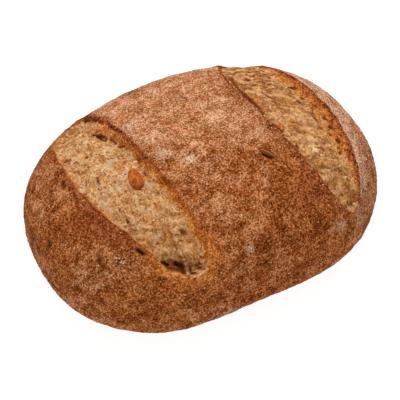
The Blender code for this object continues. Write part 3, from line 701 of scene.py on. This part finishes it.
def dusting(degrees, x_mm, edge, plus_side, zones):
    """How dusty the crust is, most on the crown, and where the floury border lies."""
    crown = ease((degrees - DUST["from"]) / DUST["span"])
    dust = crown * (DUST["least"] + DUST["more"] * ease((x_mm - DUST["from_x"]) / DUST["span_x"]))
    border = np.exp(-np.maximum(-edge, 0.0) / BORDER_DUST_MM) * plus_side * (x_mm > BORDER_FROM) * (edge < 0.0)
    return dust + BORDER_DUST * border + ZONE_DUST * zones, border


def bare_ground(edge, ramp_place, burn, ember):
    """1 where loose bits may lie: off the marks and off the ramp."""
    unmarked = np.maximum(burn, ember) < MARK_FREE
    return (unmarked & ((edge < 0.0) | (ramp_place > RAMP_FREE))) * 1.0


def make_loaf_form():
    """The loaf's mesh with its relief, centred over the origin, and the fields that its finish reads."""
    mesh = sphere_mesh()
    directions = vertex_places(mesh)
    directions /= np.linalg.norm(directions, axis=1)[:, None]
    points = draw_to_edges(smooth_loaf(directions))
    mesh.vertices.foreach_set("co", points.ravel())
    mesh.update()
    x, angle, arc = surface_place(points)
    x_mm, arc_mm = x / MM, arc / MM
    height = crust_relief(points, x, arc)
    edge, fields = add_slashes(height, points, angle, x, arc)
    for mark in (POCKET, LUMP, LUMP_GAP, TEAR):
        height -= dent(x, arc, mark)
    # the first table holds burnt spots and painted shade: the pocket's hollow, the crease and the crust seed's
    # contact shadow
    burn, ember, pale = (strokes(x_mm, arc_mm, table) for table in (BURNS_AND_PAINTED_SHADE, EMBERS, PALES))
    height += (PALE_RISE * pale - BURN_SINK * burn) * MM
    fade = ease(points[:, 2] / BASE_FADE)
    points = points + (height * fade)[:, None] * vertex_facings(mesh)
    points[:, 2] = np.maximum(points[:, 2], 0.0)
    shift = -(points[:, :2].max(axis=0) + points[:, :2].min(axis=0)) / 2
    points[:, :2] += shift
    mesh.vertices.foreach_set("co", points.ravel())
    mesh.update()
    zones = patches(x_mm, arc_mm, DARK_ZONES)
    dust, border = dusting(np.degrees(angle), x_mm, edge, fields["plus_side"], zones)
    fields.update(edge_mm=edge, relief_share=fade, dust=dust, zones=zones, burn=burn, ember=ember, pale=pale)
    fields["flour"] = patches(x_mm, arc_mm, FLOUR) + BORDER_FLOUR * border
    fields["bare"] = bare_ground(edge, fields["ramp_place"], burn, ember)
    for name, values in fields.items():
        store(mesh, name, values)
    return mesh, Vector((*shift, 0.0))


# Node trees


class Nodes:
    """Short ways to add nodes to one tree."""

    def __init__(self, tree):
        self.tree = tree

    def add(self, kind, inputs=None, **settings):
        node = self.tree.nodes.new(kind)
        for name, value in settings.items():
            setattr(node, name, value)
        for key, value in (inputs or {}).items():
            self.put(node.inputs[key], value)
        return node

    def put(self, socket, value):
        if isinstance(value, bpy.types.NodeSocket):
            self.tree.links.new(value, socket)
        else:
            socket.default_value = value

    def math(self, operation, first, second=0.0, third=0.0, clamp=False):
        inputs = {0: first, 1: second, 2: third}
        return self.add("ShaderNodeMath", inputs, operation=operation, use_clamp=clamp).outputs[0]

    def step(self, value, low, high):
        """A smooth step of value between low and high."""
        inputs = {"Value": value, "From Min": low, "From Max": high}
        return self.add("ShaderNodeMapRange", inputs, interpolation_type="SMOOTHSTEP").outputs[0]

    def noise(self, vector, size, detail=2.0, roughness=0.5, distortion=0.0):
        inputs = {"Vector": vector, "Scale": 1.0 / size, "Detail": detail, "Roughness": roughness,
                  "Distortion": distortion}
        return self.add("ShaderNodeTexNoise", inputs).outputs[0]

    def ramp(self, value, name):
        """A colour ramp of the table by a value."""
        node = self.add("ShaderNodeValToRGB", {0: value})
        band = node.color_ramp
        band.elements.remove(band.elements[1])
        (place, *shade), *others = RAMPS[name]
        band.elements[0].position, band.elements[0].color = place, rgb(*shade)
        for place, *shade in others:
            band.elements.new(place).color = rgb(*shade)
        return node.outputs[0]

    def varied(self, base, wobbles, parts):
        """Base with each named wobble added, from its middle, in its amount."""
        for name, amount in parts.items():
            wobble = self.math("SUBTRACT", wobbles[name], NOISE_MIDDLE)
            base = self.math("MULTIPLY_ADD", wobble, amount, base)
        return base

    def cover(self, value, wobbles, name):
        """How much of a coat of the table lies where the value is high, with a ragged border."""
        wobble, low, high, reach, share = COATS[name]
        moved = self.varied(value, wobbles, {wobble: reach})
        return self.math("MULTIPLY", self.step(moved, low, high), share)

    def tint(self, colour, cover, name, blend="MIX"):
        """Lays a tint of the table over a colour."""
        share, *shade = TINTS[name]
        return self.mix(self.math("MULTIPLY", cover, share), colour, rgb(*shade), blend)

    def linear(self, value, line):
        """Value along a straight line that is given as slope and start."""
        return self.math("MULTIPLY_ADD", value, *line)

    def vector(self, operation, first, second):
        inputs = {0: first, ("Scale" if operation == "SCALE" else 1): second}
        return self.add("ShaderNodeVectorMath", inputs, operation=operation).outputs[0]

    def joined(self, x, y, z):
        return self.add("ShaderNodeCombineXYZ", {0: x, 1: y, 2: z}).outputs[0]

    def cells(self, vector, size):
        """The distance to the nearest of scattered cells, and two values that are constant in each."""
        node = self.add("ShaderNodeTexVoronoi", {"Vector": vector, "Scale": 1.0 / size})
        luck = self.add("ShaderNodeSeparateColor", {0: node.outputs["Color"]}).outputs
        return node.outputs["Distance"], luck[0], luck[1]

    def mix_value(self, share, first, second):
        node = self.add("ShaderNodeMix", {0: share, 2: first, 3: second}, data_type="FLOAT", clamp_factor=True)
        return node.outputs[0]

    def mix(self, share, first, second, blend="MIX"):
        node = self.add("ShaderNodeMix", data_type="RGBA", blend_type=blend, clamp_factor=True)
        for index, value in ((0, share), (6, first), (7, second)):
            self.put(node.inputs[index], value)
        return node.outputs[2]

    def scaled(self, vector, factors):
        return self.vector("MULTIPLY", vector, factors)

    def field(self, name):
        return self.add("ShaderNodeAttribute", attribute_name=name, attribute_type="GEOMETRY").outputs["Fac"]

    def named(self, name):
        """The same field in a geometry tree."""
        node = self.add("GeometryNodeInputNamedAttribute", {"Name": name}, data_type="FLOAT")
        return node.outputs["Attribute"]

    def keep(self, geometry, name, value):
        """Stores a value on the geometry's points under a name."""
        inputs = {"Geometry": geometry, "Name": name, "Value": value}
        return self.add("GeometryNodeStoreNamedAttribute", inputs, data_type="FLOAT", domain="POINT").outputs[0]

    def lot(self, least, most, seed):
        """A vector drawn at random for each point."""
        inputs = {0: least, 1: most, "Seed": seed}
        return self.add("FunctionNodeRandomValue", inputs, data_type="FLOAT_VECTOR").outputs[0]

    def place_in_mm(self):
        return self.scaled(self.add("ShaderNodeTexCoord").outputs["Object"], (1.0 / MM, 1.0 / MM, 1.0 / MM))


def new_material(name, roughness, specular):
    material = bpy.data.materials.new(name)
    material.use_nodes = True
    nodes = Nodes(material.node_tree)
    shader = material.node_tree.nodes["Principled BSDF"]
    shader.inputs["Roughness"].default_value = roughness
    shader.inputs["Specular IOR Level"].default_value = specular
    return material, nodes, shader


def new_geometry_tree(name, sizes):
    """A geometry tree with a geometry input and output and one named float input for each size."""
    tree = bpy.data.node_groups.new(name, "GeometryNodeTree")
    tree.interface.new_socket("Geometry", in_out="INPUT", socket_type="NodeSocketGeometry")
    tree.interface.new_socket("Geometry", in_out="OUTPUT", socket_type="NodeSocketGeometry")
    for label, value in sizes.items():
        socket = tree.interface.new_socket(label, in_out="INPUT", socket_type="NodeSocketFloat")
        socket.default_value = value
    nodes = Nodes(tree)
    return tree, nodes, nodes.add("NodeGroupInput"), nodes.add("NodeGroupOutput")


def end_tree(nodes, geometry, material, group_out):
    realized = nodes.add("GeometryNodeRealizeInstances", {"Geometry": geometry}).outputs[0]
    finished = nodes.add("GeometryNodeSetMaterial", {"Geometry": realized, "Material": material}).outputs[0]
    nodes.put(group_out.inputs["Geometry"], finished)


def run_tree(item, tree, values, others=()):
    """Puts the tree on the object with its inputs set, and turns the result into a plain mesh."""
    modifier = item.modifiers.new(tree.name, "NODES")
    modifier.node_group = tree
    for socket in tree.interface.items_tree:
        if socket.item_type == "SOCKET" and socket.in_out == "INPUT" and socket.name in values:
            modifier[socket.identifier] = values[socket.name]
    for kind, settings in others:
        extra = item.modifiers.new(kind.lower(), kind)
        for name, value in settings.items():
            setattr(extra, name, value)
    bpy.context.view_layer.update()
    evaluated = item.evaluated_get(bpy.context.evaluated_depsgraph_get())
    mesh = bpy.data.meshes.new_from_object(evaluated)
    item.modifiers.clear()
    item.data = mesh
    return item


# Materials


def noises_at(n, place):
    """The loaf's noises, the luck of each granule in its crust, and the grain that they make together."""
    wobbles = {}
    for name, (scales, *settings) in NOISES.items():
        ground = place
        if name == "layer":
            turn = {"Vector": place, "Angle": LAYER_TURN}
            ground = n.add("ShaderNodeVectorRotate", turn, rotation_type="Z_AXIS").outputs[0]
        wobbles[name] = n.noise(n.scaled(ground, scales), *settings)
    _, wobbles["luck"], wobbles["bit luck"] = n.cells(place, GRANULE_MM)
    wobbles["grain"] = n.varied(wobbles["fine"], wobbles, GRAIN_PARTS)
    wobbles["ragged"] = n.varied(NOISE_MIDDLE, wobbles, RAGGED_PARTS)
    return wobbles


def crust_colour(n, wobbles):
    """Granular crust: dustier on the crown, redder beside the slashes, and orange around a slash's near end."""
    grain, glow = wobbles["grain"], n.field("glow")
    crusty = n.varied(grain, wobbles, CRUST_PARTS)
    dusty = n.varied(n.field("dust"), wobbles, DUST_PARTS)
    crust = n.mix(dusty, n.ramp(crusty, "low crust"), n.ramp(crusty, "high crust"))
    crust = n.tint(crust, n.step(wobbles["hue"], *STEPS["warm"]), "warm", "MULTIPLY")
    specks = n.step(n.math("MULTIPLY_ADD", wobbles["fine"], SPECK_FINE, wobbles["grit"]), *STEPS["specks"])
    floured = n.cover(n.field("flour"), wobbles, "flour")
    crust = n.tint(crust, n.math("MULTIPLY", floured, specks), "flour")
    blush = n.math("MULTIPLY_ADD", n.field("zones"), ZONE_BLUSH, n.field("blush"))
    crust = n.mix(n.cover(blush, wobbles, "blush"), crust, n.ramp(grain, "blush"))
    bright = n.cover(glow, wobbles, "bright glow")
    glowing = n.mix(bright, n.ramp(grain, "glow"), n.ramp(grain, "bright glow"))
    return n.mix(n.cover(glow, wobbles, "glow"), crust, glowing)


def flecks_and_cracks(n, place, wobbles):
    """Where bran flecks lie in the crumb, and where it has torn into fine cracks."""
    away, _, luck = n.cells(n.scaled(place, FLECK_STRETCH), FLECK_MM)
    fleck = n.math("MULTIPLY", n.step(away, *STEPS["fleck"]), n.step(luck, *STEPS["fleck luck"]))
    contour = n.math("ABSOLUTE", n.math("SUBTRACT", wobbles["contour"], NOISE_MIDDLE))
    crack = n.math("MULTIPLY", n.step(contour, *STEPS["crack"]), n.step(wobbles["cracking"], *STEPS["cracking"]))
    return fleck, crack


def crumb_colour(n, wobbles, fleck, crack):
    """Pale crumb, yellowish in parts and greyish in others, with painted shade in its hollows and painted light
    where it stands up, and with brown and pale layers.
    """
    grain, layer, layers = wobbles["grain"], wobbles["layer"], n.field("layers")
    # painted shade and light: the crumb's colour follows the height of its relief, darker in the hollows and paler
    # on what stands up
    shade_and_tone = n.math("MULTIPLY_ADD", n.field("crumb_lift"), LIFT_PAINTED_SHADE, NOISE_MIDDLE)
    crumb = n.ramp(n.varied(shade_and_tone, wobbles, TONE_PARTS), "crumb")
    crumb = n.tint(crumb, n.step(wobbles["hue"], *STEPS["yellow"]), "yellow", "MULTIPLY")
    grey = n.math("MULTIPLY", n.step(wobbles["grey"], *STEPS["grey"]), n.linear(layers, GREY_SHARE))
    crumb = n.tint(crumb, grey, "grey")
    crumb = n.tint(crumb, fleck, "fleck")
    crumb = n.tint(crumb, crack, "crack")
    layered = n.math("MULTIPLY", n.step(layer, *STEPS["layer"]), layers)
    crumb = n.mix(n.math("MULTIPLY", layered, LAYER_SHARE), crumb, n.ramp(grain, "layer"))
    lifted = n.math("MULTIPLY", n.step(layer, *STEPS["lifted"]), layers)
    crumb = n.tint(crumb, lifted, "lifted")
    return n.tint(crumb, n.field("toast"), "toast", "MULTIPLY")


def inside_colour(n, wobbles, crumb):
    """The inside of a slash: a ramp baked orange-brown or rust-brown, crumbs on it, and the crumb at its foot."""
    grain = wobbles["grain"]
    slope = n.varied(n.field("ramp_place"), wobbles, SLOPE_PARTS)
    slope = n.math("MAXIMUM", slope, n.math("SUBTRACT", LEAST_SLOPE, n.field("baking")))
    baked = n.vector("SCALE", n.ramp(slope, "ramp"), n.linear(grain, BAKED_LIGHT))
    baked = n.mix(n.field("rust"), baked, n.ramp(grain, "rust"))
    share = n.math("MAXIMUM", n.linear(n.field("layers"), BIT_SHARE), 0.0)
    baked = n.mix(n.math("MULTIPLY", n.step(wobbles["bit luck"], *STEPS["bits"]), share), baked, crumb)
    return n.mix(n.step(slope, *STEPS["foot"]), crumb, baked)


def make_loaf_finish():
    """Browned crust with flour and bran, and opened crumb with painted shade in its hollows, a baked ramp, scorched
    lips and single marks, of which some are painted shade.
    """
    material, n, shader = new_material("baked_loaf", roughness=0.8, specular=BREAD_SHINE)
    place = n.place_in_mm()
    wobbles = noises_at(n, place)
    edge = n.field("edge_mm")
    fleck, crack = flecks_and_cracks(n, place, wobbles)
    inside = inside_colour(n, wobbles, crumb_colour(n, wobbles, fleck, crack))
    wander = n.linear(n.field("plus_side"), BORDER_WANDER)
    opened = n.varied(edge, wobbles, {"border": wander, "grit": GRIT_WANDER})
    colour = n.mix(n.step(opened, *STEPS["opened"]), crust_colour(n, wobbles), inside)
    # the burn coats lay burnt spots and also the painted shade of the pocket, the crease and around the crust seed
    for name, field in MARK_COATS:
        colour = n.mix(n.cover(n.field(field), wobbles, name), colour, n.ramp(wobbles["grain"], name))
    n.put(shader.inputs["Base Color"], colour)

    height = n.math("MULTIPLY", wobbles["grit"], BUMPS["grit"])
    height = n.math("MULTIPLY_ADD", wobbles["grain"], BUMPS["grain"], height)
    cracked = n.math("MULTIPLY", crack, n.step(edge, *STEPS["crack depth"]))
    height = n.math("MULTIPLY_ADD", cracked, BUMPS["crack"], height)
    bump = {"Height": height, "Strength": BUMPS["strength"], "Distance": BUMPS["distance"]}
    n.put(shader.inputs["Normal"], n.add("ShaderNodeBump", bump).outputs[0])
    return material


def make_scatter_finish(name, dark, light, roughness):
    """Bits whose colour differs from one to the next."""
    material, n, shader = new_material(name, roughness, BREAD_SHINE)
    mottled = n.math("SUBTRACT", n.noise(n.place_in_mm(), BIT_MOTTLE_MM), NOISE_MIDDLE)
    shade = n.math("MULTIPLY_ADD", mottled, BIT_MOTTLE, n.field("luck"), clamp=True)
    n.put(shader.inputs["Base Color"], n.mix(shade, rgb(*dark), rgb(*light)))
    return material


def make_kernel_finish(name):
    """A baked kernel or seed: its skin's colour varies, and its third colour lies where its stripe and shade field
    is high: stripes on a seed, painted shade and a painted shadow on the kernel.
    """
    light, dark, stripe_and_shade = (rgb(*shade) for shade in SKINS[name])
    material, n, shader = new_material(name, roughness=0.55, specular=0.08)
    place = n.place_in_mm()
    mottled = n.noise(place, *SKIN_MOTTLE)
    colour = n.mix(n.step(mottled, *SKIN_STEP), dark, light)
    n.put(shader.inputs["Base Color"], n.mix(n.field("stripe_and_shade"), colour, stripe_and_shade))
    bump = {"Height": n.noise(place, *SKIN_WRINKLES), "Strength": 0.5, "Distance": 0.0004}
    n.put(shader.inputs["Normal"], n.add("ShaderNodeBump", bump).outputs[0])
    return material


# Pieces


def show(name, data):
    item = bpy.data.objects.new(name, data)
    bpy.context.scene.collection.objects.link(item)
    return item


def crust_grain_tree(finish):
    """Moves the surface along its normal: granules and blisters on the crust, folds and crumbs in the slashes."""
    tree, n, group_in, group_out = new_geometry_tree("crust_grain", CRUST_GRAIN)
    size = group_in.outputs
    position = n.add("GeometryNodeInputPosition").outputs[0]
    drawn_out = n.vector("DIVIDE", position, n.joined(1.0, size["Fold Stretch"], size["Fold Stretch"]))

    def grain(kind, vector=position):
        scale = n.math("DIVIDE", 1.0, size[kind + " Size"])
        inputs = {"Vector": vector, "Scale": scale, "Detail": CRUST_GRAIN_DETAIL[kind]}
        field = n.add("ShaderNodeTexNoise", inputs).outputs[0]
        return n.math("MULTIPLY", n.math("SUBTRACT", field, NOISE_MIDDLE), size[kind + " Height"])

    inside = n.step(n.named("edge_mm"), *CRUMB_FROM)
    crust = n.math("ADD", grain("Grain"), grain("Blister"))
    crumb = n.math("SUBTRACT", grain("Crumb"), n.math("ABSOLUTE", grain("Fold", drawn_out)))
    # the crumb's relief height, which its finish turns into painted shade in the hollows and painted light on what
    # stands up
    kept = n.keep(size["Geometry"], "crumb_lift", n.math("DIVIDE", crumb, MM))
    height = n.mix_value(inside, crust, crumb)
    height = n.math("MULTIPLY", height, n.named("relief_share"))
    facing = n.add("GeometryNodeInputNormal").outputs[0]
    offset = n.vector("SCALE", facing, height)
    moved = n.add("GeometryNodeSetPosition", {"Geometry": kept, "Offset": offset}).outputs[0]
    end_tree(n, moved, finish, group_out)
    return tree


def make_loaf():
    form, shift = make_loaf_form()
    loaf = show("baked_loaf", form)
    thin = {"ratio": LOAF_TRIANGLES / len(form.polygons), "use_collapse_triangulate": True}
    run_tree(loaf, crust_grain_tree(make_loaf_finish()), CRUST_GRAIN, [("DECIMATE", thin)])
    loaf.data.shade_smooth()
    return loaf, shift


def scatter_points(n, size, seed, span):
    """Points spread at random over the ground inside a range of mm from the slashes' edges."""
    edge = n.named("edge_mm")
    chosen = n.math("MULTIPLY", n.math("GREATER_THAN", edge, span[0]), n.math("LESS_THAN", edge, span[1]))
    chosen = n.math("MULTIPLY", chosen, n.math("GREATER_THAN", n.named("relief_share"), SCATTER_RELIEF))
    dust = n.math("ADD", n.named("dust"), SCATTER_DUST, clamp=True)
    chosen = n.math("MULTIPLY", chosen, n.mix_value(size["Dust Need"], 1.0, dust))
    chosen = n.math("MULTIPLY", chosen, n.named("bare"))
    spread = n.add("GeometryNodeDistributePointsOnFaces", {
        "Mesh": size["Geometry"], "Density": n.math("MULTIPLY", size["Density"], chosen), "Seed": seed,
    }, distribute_method="RANDOM")
    luck = n.add("FunctionNodeRandomValue", {"Seed": seed + 1}, data_type="FLOAT").outputs[1]
    return n.keep(spread.outputs["Points"], "luck", luck), spread.outputs["Rotation"]


def scatter_bits(n, size, seed, detail, points, facing):
    """A flattened ball on each point, of its own size and turn, whose surface wobbles."""
    ball = n.add("GeometryNodeMeshIcoSphere", {"Radius": 0.5, "Subdivisions": detail}).outputs[0]
    tilt = n.joined(size["Tilt"], size["Tilt"], math.pi)
    back = n.scaled(tilt, (-1.0, -1.0, -1.0))
    turn = n.add("FunctionNodeEulerToRotation", {0: n.lot(back, tilt, seed + 2)}).outputs[0]
    lie = n.add("FunctionNodeRotateRotation", {0: facing, 1: turn}, rotation_space="LOCAL").outputs[0]
    least = n.joined(size["Least Length"], size["Least Width"], size["Thickness"])
    most = n.joined(size["Most Length"], size["Most Width"], size["Thickness"])
    bits = n.add("GeometryNodeInstanceOnPoints", {
        "Points": points, "Instance": ball, "Rotation": lie, "Scale": n.lot(least, most, seed + 3),
    }).outputs[0]
    bits = n.add("GeometryNodeRealizeInstances", {"Geometry": bits}).outputs[0]
    position = n.add("GeometryNodeInputPosition").outputs[0]
    wobble = n.add("ShaderNodeTexNoise", {"Vector": position, "Scale": n.math("DIVIDE", 1.0, size["Wobble Size"])})
    away = n.vector("SUBTRACT", wobble.outputs[1], (NOISE_MIDDLE, NOISE_MIDDLE, NOISE_MIDDLE))
    away = n.vector("SCALE", away, size["Wobble"])
    return n.add("GeometryNodeSetPosition", {"Geometry": bits, "Offset": away}).outputs[0]


def make_scatter(name, ground):
    """One kind of loose bits, spread over the loaf."""
    kind = SCATTERS[name]
    finish = make_scatter_finish(name, kind["dark"], kind["light"], kind["roughness"])
    tree, n, group_in, group_out = new_geometry_tree(name, kind["sizes"])
    size = group_in.outputs
    points, facing = scatter_points(n, size, kind["seed"], kind["range"])
    bits = scatter_bits(n, size, kind["seed"], kind["detail"], points, facing)
    end_tree(n, bits, finish, group_out)
    item = show(name, ground.data.copy())
    item.data.materials.clear()
    return run_tree(item, tree, kind["sizes"])


def seat(points, facings, x, angle):
    """The surface point nearest to a place, and the direction that the surface faces there."""
    place_x, _, place_arc = surface_place(points)
    away = (place_x - x) ** 2 + (place_arc - arc_length(math.radians(angle))) ** 2
    away = away + (points[:, 2] < AXIS_HEIGHT)      # leaves out the underside
    near = np.argsort(away)[:SEAT_POINTS]
    facing = Vector(facings[near].mean(axis=0)).normalized()
    return Vector(points[near[0]]), facing


def hump(value, middle, width):
    return math.exp(-(((value - middle) / width) ** 2))


def kernel_shape(ball):
    """A nut-like kernel at a point of the ball: how wide it is, its crease, and how much painted shade its skin
    gets beside the crease and painted shadow at its lower end.
    """
    wave = CREASE["wave"] * math.sin(CREASE["waves"] * ball.y)
    across = ball.x + CREASE["slant"] * ball.y - CREASE["shift"] + wave
    crease = hump(across, 0.0, CREASE["width"]) * (ball.z > 0.0)
    dark, middle, width = CREASE_PAINTED_SHADE
    tip, start, length = TIP_PAINTED_SHADOW
    return 1.0, crease, dark * hump(across, middle, width) + tip * ease((start - ball.x) / length)


def seed_shape(ball):
    """A pointed seed at a point of the ball: how wide it is, its groove, and how strong its stripes are."""
    narrow = 1.0 - SEED_POINT * abs(ball.x) ** SEED_POINT_POWER
    stripes = sum(strength * hump(ball.y, middle, width) for strength, middle, width in SEED_STRIPES)
    return narrow, hump(ball.y, *SEED_GROOVE), stripes


def make_kernel(name, points, facings, finish):
    """A kernel or seed that is sunk into the loaf's surface at its place."""
    x, angle, length, width, thickness, heading, sunk = KERNELS[name]
    place, facing = seat(points, facings, x, angle)
    shape = kernel_shape if name == "whole_kernel" else seed_shape
    luck = Vector((x / MM * KERNEL_LUCK, 0.0, 0.0))
    bm = bmesh.new()
    bmesh.ops.create_icosphere(bm, subdivisions=KERNEL_DETAIL, radius=1.0)
    stripes = []
    for vertex in bm.verts:
        ball = vertex.co.copy()
        narrow, groove, stripe_and_shade = shape(ball)
        taper = (1.0 - KERNEL_TAPER * ball.x) * narrow
        rough = 1.0 + KERNEL_ROUGHNESS * noise.noise(ball * KERNEL_LUMPS + luck)
        extent = Vector((length, width * taper, thickness * taper)) / 2
        vertex.co = ball * extent * rough * (1.0 - CREASE_DEPTH * groove)
        stripes.append(min(stripe_and_shade, 1.0))
    mesh = bpy.data.meshes.new(name)
    bm.to_mesh(mesh)
    bm.free()
    # on the kernel this field is painted shade beside its crease and a painted shadow at its lower end; on a seed
    # it is its stripes
    store(mesh, "stripe_and_shade", stripes)
    along = Vector((math.cos(math.radians(heading)), math.sin(math.radians(heading)), 0.0))
    along = (along - facing * along.dot(facing)).normalized()
    turned = Matrix((along, facing.cross(along), facing)).transposed().to_4x4()
    mesh.transform(Matrix.Translation(place + facing * thickness * (0.5 - sunk)) @ turned)
    mesh.materials.append(finish)
    mesh.shade_smooth()
    return show(name, mesh)


# Floor, light and camera


def make_floor():
    bm = bmesh.new()
    bmesh.ops.create_grid(bm, x_segments=1, y_segments=1, size=FLOOR_REACH)
    mesh = bpy.data.meshes.new("floor")
    bm.to_mesh(mesh)
    bm.free()
    material, _, shader = new_material("floor", roughness=0.9, specular=0.5)
    shader.inputs["Base Color"].default_value = (FLOOR_GREY, FLOOR_GREY, FLOOR_GREY, 1.0)
    shader.inputs["Emission Color"].default_value = WHITE
    shader.inputs["Emission Strength"].default_value = FLOOR_GLOW
    mesh.materials.append(material)
    floor = show("floor", mesh)
    floor.location.z = -FLOOR_DROP
    return floor


def make_light(name, place, size, watts):
    """A round lamp that faces the loaf."""
    data = bpy.data.lights.new(name, "AREA")
    data.shape = "DISK"
    data.size = size
    data.energy = watts
    light = show(name, data)
    light.location = place
    light.rotation_mode = "QUATERNION"
    light.rotation_quaternion = (Vector(LIGHT_TARGET) - Vector(place)).to_track_quat("-Z", "Y")


def make_studio():
    """An even white sky, a large lamp overhead and a weak one in front."""
    world = bpy.data.worlds.new("studio")
    world.use_nodes = True
    background = world.node_tree.nodes["Background"]
    background.inputs["Color"].default_value = WHITE
    background.inputs["Strength"].default_value = SKY_STRENGTH
    scene = bpy.context.scene
    scene.world = world
    scene.view_settings.view_transform = "Standard"
    scene.view_settings.look = "None"
    for name, place, size, watts in LIGHTS:
        make_light(name, place, size, watts)


def make_camera(shift):
    """The camera where the photograph was taken from, which has the loaf's middle at its pixel."""
    azimuth, elevation = math.radians(CAMERA_AZIMUTH), math.radians(CAMERA_ELEVATION)
    level = math.cos(elevation)
    back = Vector((math.sin(azimuth) * level, -math.cos(azimuth) * level, math.sin(elevation)))
    right = Vector((0.0, 0.0, 1.0)).cross(back).normalized()
    up = back.cross(right)
    middle = shift + Vector((0.0, 0.0, MIDDLE_HEIGHT))
    data = bpy.data.cameras.new("camera")
    data.sensor_width = SENSOR
    data.shift_x = 0.5 - MIDDLE_PIXEL[0] / PICTURE
    data.shift_y = MIDDLE_PIXEL[1] / PICTURE - 0.5
    data.lens = PIXELS_PER_METRE * CAMERA_DISTANCE * SENSOR / PICTURE
    camera = show("camera", data)
    camera.location = middle + back * CAMERA_DISTANCE
    camera.rotation_mode = "QUATERNION"
    camera.rotation_quaternion = Matrix((right, up, back)).transposed().to_quaternion()
    bpy.context.scene.camera = camera


loaf, loaf_shift = make_loaf()
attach(loaf, BODY)
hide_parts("loaf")

loaf_points, loaf_facings = vertex_places(loaf.data), vertex_facings(loaf.data)
skins = {name: make_kernel_finish(name) for name in SKINS}
for kernel_name in KERNELS:
    skin = skins["kernel_skin" if kernel_name == "whole_kernel" else "seed_skin"]
    kernel = make_kernel(kernel_name, loaf_points, loaf_facings, skin)
    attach(kernel, BODY)

for scatter_name, kind in SCATTERS.items():
    bits = make_scatter(scatter_name, loaf)
    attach(bits, BODY)

make_camera(loaf_shift)
make_studio()
make_floor()
